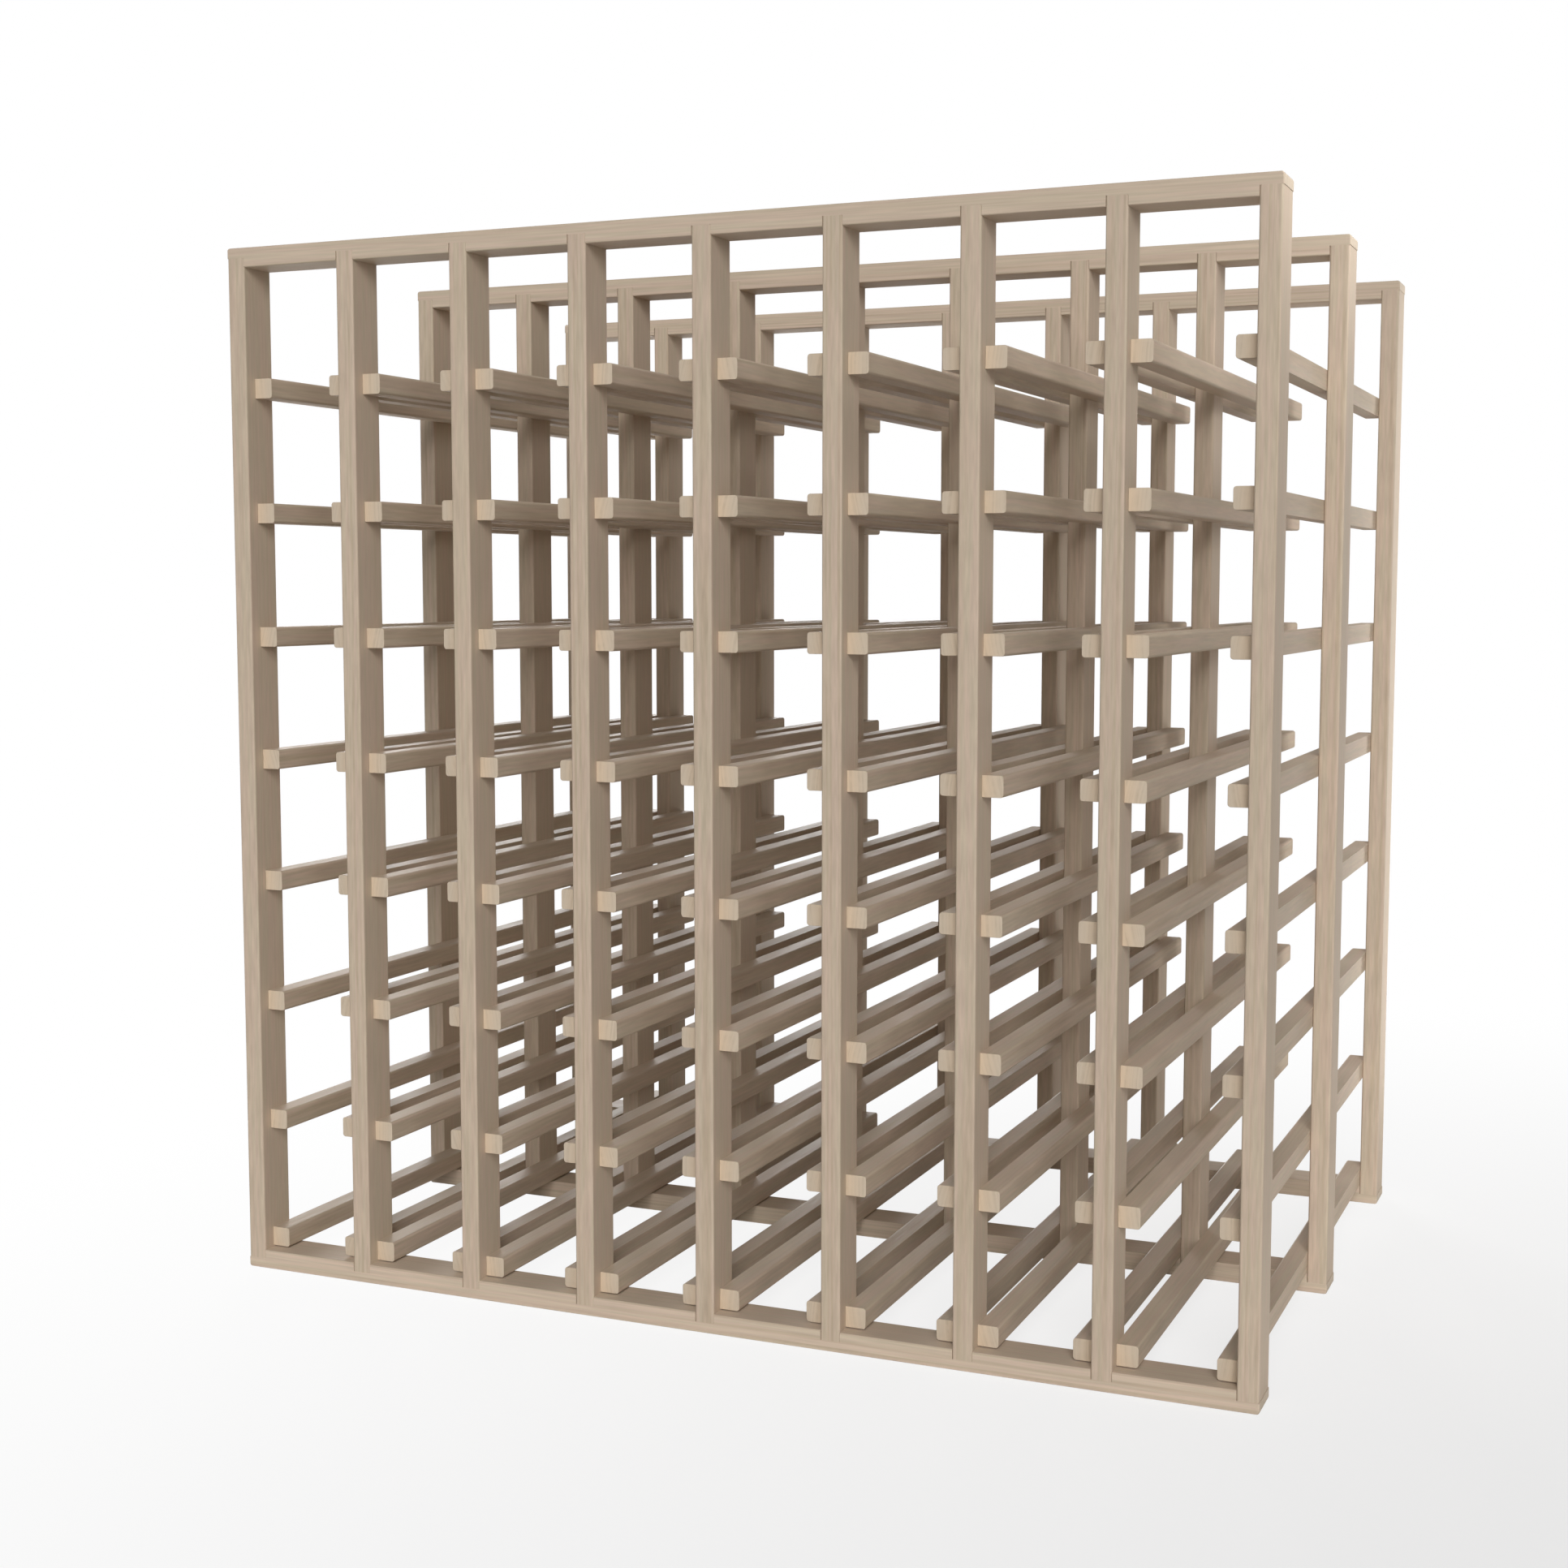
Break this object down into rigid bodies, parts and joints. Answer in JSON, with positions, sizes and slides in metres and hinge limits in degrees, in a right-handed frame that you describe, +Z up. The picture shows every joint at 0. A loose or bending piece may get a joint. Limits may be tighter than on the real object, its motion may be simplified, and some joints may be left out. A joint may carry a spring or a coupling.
{
  "type": "wine rack",
  "caption": "Free-standing open lattice wine rack in pale wood, two bottles deep, with square bearers through three frames of uprights housed in top and bottom rails.",
  "frame": {"origin": "on the floor, under the middle of the rack", "axes": "+Z up, -Y towards the front, +X to the right seen from the front"},
  "size_m": [0.9196, 0.6476, 0.9144],
  "materials": {
    "rail_wood": "bare sanded wood",
    "upright_wood": "bare sanded wood",
    "bearer_wood": "bare sanded wood",
    "tenon_wood": "bare hardwood"
  },
  "bodies": {
    "root": {"front_top_rail": "rail_wood", "front_top_tenons": "tenon_wood", "front_bottom_rail": "rail_wood", "front_bottom_tenons": "tenon_wood", "front_upright_1": "upright_wood", "front_upright_2": "upright_wood", "front_upright_3": "upright_wood", "front_upright_4": "upright_wood", "front_upright_5": "upright_wood", "front_upright_6": "upright_wood", "front_upright_7": "upright_wood", "front_upright_8": "upright_wood", "front_upright_9": "upright_wood", "middle_top_rail": "rail_wood", "middle_top_tenons": "tenon_wood", "middle_bottom_rail": "rail_wood", "middle_bottom_tenons": "tenon_wood", "middle_upright_1": "upright_wood", "middle_upright_2": "upright_wood", "middle_upright_3": "upright_wood", "middle_upright_4": "upright_wood", "middle_upright_5": "upright_wood", "middle_upright_6": "upright_wood", "middle_upright_7": "upright_wood", "middle_upright_8": "upright_wood", "middle_upright_9": "upright_wood", "rear_top_rail": "rail_wood", "rear_top_tenons": "tenon_wood", "rear_bottom_rail": "rail_wood", "rear_bottom_tenons": "tenon_wood", "rear_upright_1": "upright_wood", "rear_upright_2": "upright_wood", "rear_upright_3": "upright_wood", "rear_upright_4": "upright_wood", "rear_upright_5": "upright_wood", "rear_upright_6": "upright_wood", "rear_upright_7": "upright_wood", "rear_upright_8": "upright_wood", "rear_upright_9": "upright_wood", "column_1_left_bearers": "bearer_wood", "column_1_right_bearers": "bearer_wood", "column_2_left_bearers": "bearer_wood", "column_2_right_bearers": "bearer_wood", "column_3_left_bearers": "bearer_wood", "column_3_right_bearers": "bearer_wood", "column_4_left_bearers": "bearer_wood", "column_4_right_bearers": "bearer_wood", "column_5_left_bearers": "bearer_wood", "column_5_right_bearers": "bearer_wood", "column_6_left_bearers": "bearer_wood", "column_6_right_bearers": "bearer_wood", "column_7_left_bearers": "bearer_wood", "column_7_right_bearers": "bearer_wood", "column_8_left_bearers": "bearer_wood", "column_8_right_bearers": "bearer_wood"}
  },
  "joints": []
}
